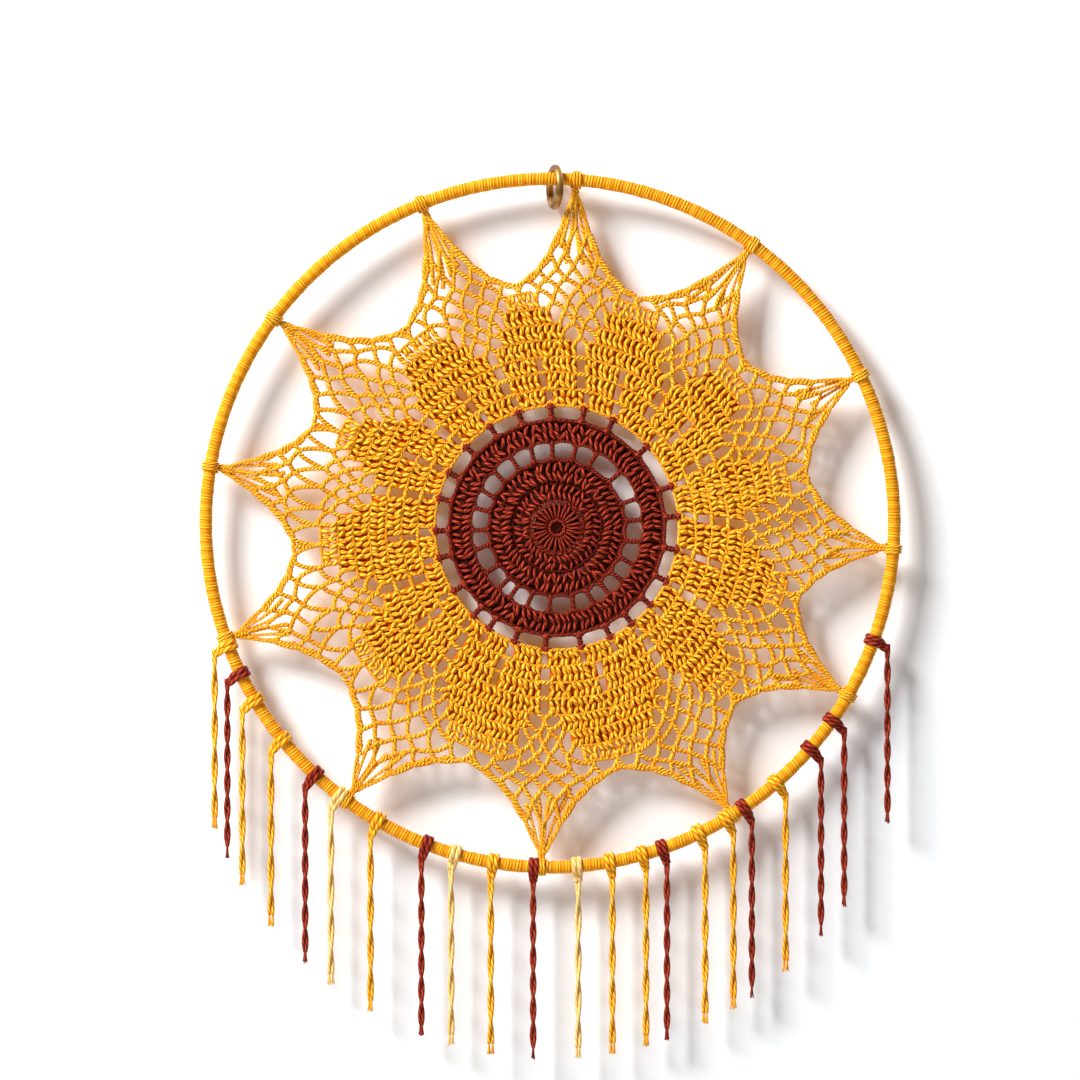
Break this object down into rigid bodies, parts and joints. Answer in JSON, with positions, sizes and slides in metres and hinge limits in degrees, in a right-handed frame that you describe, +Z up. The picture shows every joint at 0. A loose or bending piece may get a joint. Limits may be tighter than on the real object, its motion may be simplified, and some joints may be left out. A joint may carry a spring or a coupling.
{
  "type": "dreamcatcher",
  "caption": "Crocheted sunflower stretched in a yarn-wound hoop, with a knotted fringe along the lower edge and a loose metal ring at the top, hung on a wall as an ornament.",
  "frame": {"origin": "underside of the wound tube at the top of the hoop, where a nail or hook carries it", "axes": "+Z up, the hoop stands in the XZ plane, the front faces -Y"},
  "size_m": [0.3012, 0.0188, 0.3826],
  "materials": {
    "bronze": "aged bronze wire",
    "steel": "plain steel wire",
    "winding_yarn": "mercerised cotton, wound tight",
    "yellow_yarn": "mercerised cotton crochet",
    "brown_yarn": "mercerised cotton crochet",
    "cream_yarn": "mercerised cotton cord"
  },
  "bodies": {
    "hoop": {"hoop_core": "steel", "hoop_winding": "winding_yarn", "seed_centre": "brown_yarn", "lace_point_01": "yellow_yarn", "lace_point_02": "yellow_yarn", "lace_point_03": "yellow_yarn", "lace_point_04": "yellow_yarn", "lace_point_05": "yellow_yarn", "lace_point_06": "yellow_yarn", "lace_point_07": "yellow_yarn", "lace_point_08": "yellow_yarn", "lace_point_09": "yellow_yarn", "lace_point_10": "yellow_yarn", "lace_point_11": "yellow_yarn", "lace_point_12": "yellow_yarn", "fringe_knot_01": "yellow_yarn", "fringe_knot_02": "brown_yarn", "fringe_knot_03": "yellow_yarn", "fringe_knot_04": "yellow_yarn", "fringe_knot_05": "brown_yarn", "fringe_knot_06": "cream_yarn", "fringe_knot_07": "yellow_yarn", "fringe_knot_08": "brown_yarn", "fringe_knot_09": "cream_yarn", "fringe_knot_10": "yellow_yarn", "fringe_knot_11": "brown_yarn", "fringe_knot_12": "cream_yarn", "fringe_knot_13": "yellow_yarn", "fringe_knot_14": "yellow_yarn", "fringe_knot_15": "brown_yarn", "fringe_knot_16": "yellow_yarn", "fringe_knot_17": "yellow_yarn", "fringe_knot_18": "brown_yarn", "fringe_knot_19": "yellow_yarn", "fringe_knot_20": "brown_yarn", "fringe_knot_21": "brown_yarn", "fringe_knot_22": "brown_yarn"},
    "ring": {"hanging_ring": "bronze"},
    "strand_01": {"fringe_strand_01": "yellow_yarn"},
    "strand_02": {"fringe_strand_02": "brown_yarn"},
    "strand_03": {"fringe_strand_03": "yellow_yarn"},
    "strand_04": {"fringe_strand_04": "yellow_yarn"},
    "strand_05": {"fringe_strand_05": "brown_yarn"},
    "strand_06": {"fringe_strand_06": "cream_yarn"},
    "strand_07": {"fringe_strand_07": "yellow_yarn"},
    "strand_08": {"fringe_strand_08": "brown_yarn"},
    "strand_09": {"fringe_strand_09": "cream_yarn"},
    "strand_10": {"fringe_strand_10": "yellow_yarn"},
    "strand_11": {"fringe_strand_11": "brown_yarn"},
    "strand_12": {"fringe_strand_12": "cream_yarn"},
    "strand_13": {"fringe_strand_13": "yellow_yarn"},
    "strand_14": {"fringe_strand_14": "yellow_yarn"},
    "strand_15": {"fringe_strand_15": "brown_yarn"},
    "strand_16": {"fringe_strand_16": "yellow_yarn"},
    "strand_17": {"fringe_strand_17": "yellow_yarn"},
    "strand_18": {"fringe_strand_18": "brown_yarn"},
    "strand_19": {"fringe_strand_19": "yellow_yarn"},
    "strand_20": {"fringe_strand_20": "brown_yarn"},
    "strand_21": {"fringe_strand_21": "brown_yarn"},
    "strand_22": {"fringe_strand_22": "brown_yarn"}
  },
  "joints": [
    {"name": "ring_swing", "type": "hinge", "parent": "hoop", "child": "ring", "pos_m": [0.002, 0, 0.00268], "axis": [1, 0, 0], "continuous": true},
    {"name": "strand_swing_01", "type": "hinge", "parent": "hoop", "child": "strand_01", "pos_m": [-0.14337, 0, -0.199], "axis": [1, 0, 0], "range_deg": [-60, 60]},
    {"name": "strand_swing_02", "type": "hinge", "parent": "hoop", "child": "strand_02", "pos_m": [-0.13793, 0, -0.21153], "axis": [1, 0, 0], "range_deg": [-60, 60]},
    {"name": "strand_swing_03", "type": "hinge", "parent": "hoop", "child": "strand_03", "pos_m": [-0.13154, 0, -0.22329], "axis": [1, 0, 0], "range_deg": [-60, 60]},
    {"name": "strand_swing_04", "type": "hinge", "parent": "hoop", "child": "strand_04", "pos_m": [-0.11926, 0, -0.24083], "axis": [1, 0, 0], "range_deg": [-60, 60]},
    {"name": "strand_swing_05", "type": "hinge", "parent": "hoop", "child": "strand_05", "pos_m": [-0.10466, 0, -0.25649], "axis": [1, 0, 0], "range_deg": [-60, 60]},
    {"name": "strand_swing_06", "type": "hinge", "parent": "hoop", "child": "strand_06", "pos_m": [-0.09363, 0, -0.26584], "axis": [1, 0, 0], "range_deg": [-60, 60]},
    {"name": "strand_swing_07", "type": "hinge", "parent": "hoop", "child": "strand_07", "pos_m": [-0.07673, 0, -0.27716], "axis": [1, 0, 0], "range_deg": [-60, 60]},
    {"name": "strand_swing_08", "type": "hinge", "parent": "hoop", "child": "strand_08", "pos_m": [-0.055, 0, -0.28752], "axis": [1, 0, 0], "range_deg": [-60, 60]},
    {"name": "strand_swing_09", "type": "hinge", "parent": "hoop", "child": "strand_09", "pos_m": [-0.0423, 0, -0.29177], "axis": [1, 0, 0], "range_deg": [-60, 60]},
    {"name": "strand_swing_10", "type": "hinge", "parent": "hoop", "child": "strand_10", "pos_m": [-0.02533, 0, -0.29561], "axis": [1, 0, 0], "range_deg": [-60, 60]},
    {"name": "strand_swing_11", "type": "hinge", "parent": "hoop", "child": "strand_11", "pos_m": [-0.00723, 0, -0.29755], "axis": [1, 0, 0], "range_deg": [-60, 60]},
    {"name": "strand_swing_12", "type": "hinge", "parent": "hoop", "child": "strand_12", "pos_m": [0.01204, 0, -0.29724], "axis": [1, 0, 0], "range_deg": [-60, 60]},
    {"name": "strand_swing_13", "type": "hinge", "parent": "hoop", "child": "strand_13", "pos_m": [0.02665, 0, -0.29538], "axis": [1, 0, 0], "range_deg": [-60, 60]},
    {"name": "strand_swing_14", "type": "hinge", "parent": "hoop", "child": "strand_14", "pos_m": [0.04101, 0, -0.29213], "axis": [1, 0, 0], "range_deg": [-60, 60]},
    {"name": "strand_swing_15", "type": "hinge", "parent": "hoop", "child": "strand_15", "pos_m": [0.04996, 0, -0.28935], "axis": [1, 0, 0], "range_deg": [-60, 60]},
    {"name": "strand_swing_16", "type": "hinge", "parent": "hoop", "child": "strand_16", "pos_m": [0.06631, 0, -0.28265], "axis": [1, 0, 0], "range_deg": [-60, 60]},
    {"name": "strand_swing_17", "type": "hinge", "parent": "hoop", "child": "strand_17", "pos_m": [0.07835, 0, -0.27621], "axis": [1, 0, 0], "range_deg": [-60, 60]},
    {"name": "strand_swing_18", "type": "hinge", "parent": "hoop", "child": "strand_18", "pos_m": [0.08626, 0, -0.27118], "axis": [1, 0, 0], "range_deg": [-60, 60]},
    {"name": "strand_swing_19", "type": "hinge", "parent": "hoop", "child": "strand_19", "pos_m": [0.10068, 0, -0.26007], "axis": [1, 0, 0], "range_deg": [-60, 60]},
    {"name": "strand_swing_20", "type": "hinge", "parent": "hoop", "child": "strand_20", "pos_m": [0.11582, 0, -0.24493], "axis": [1, 0, 0], "range_deg": [-60, 60]},
    {"name": "strand_swing_21", "type": "hinge", "parent": "hoop", "child": "strand_21", "pos_m": [0.12571, 0, -0.23228], "axis": [1, 0, 0], "range_deg": [-60, 60]},
    {"name": "strand_swing_22", "type": "hinge", "parent": "hoop", "child": "strand_22", "pos_m": [0.14421, 0, -0.19674], "axis": [1, 0, 0], "range_deg": [-60, 60]}
  ]
}
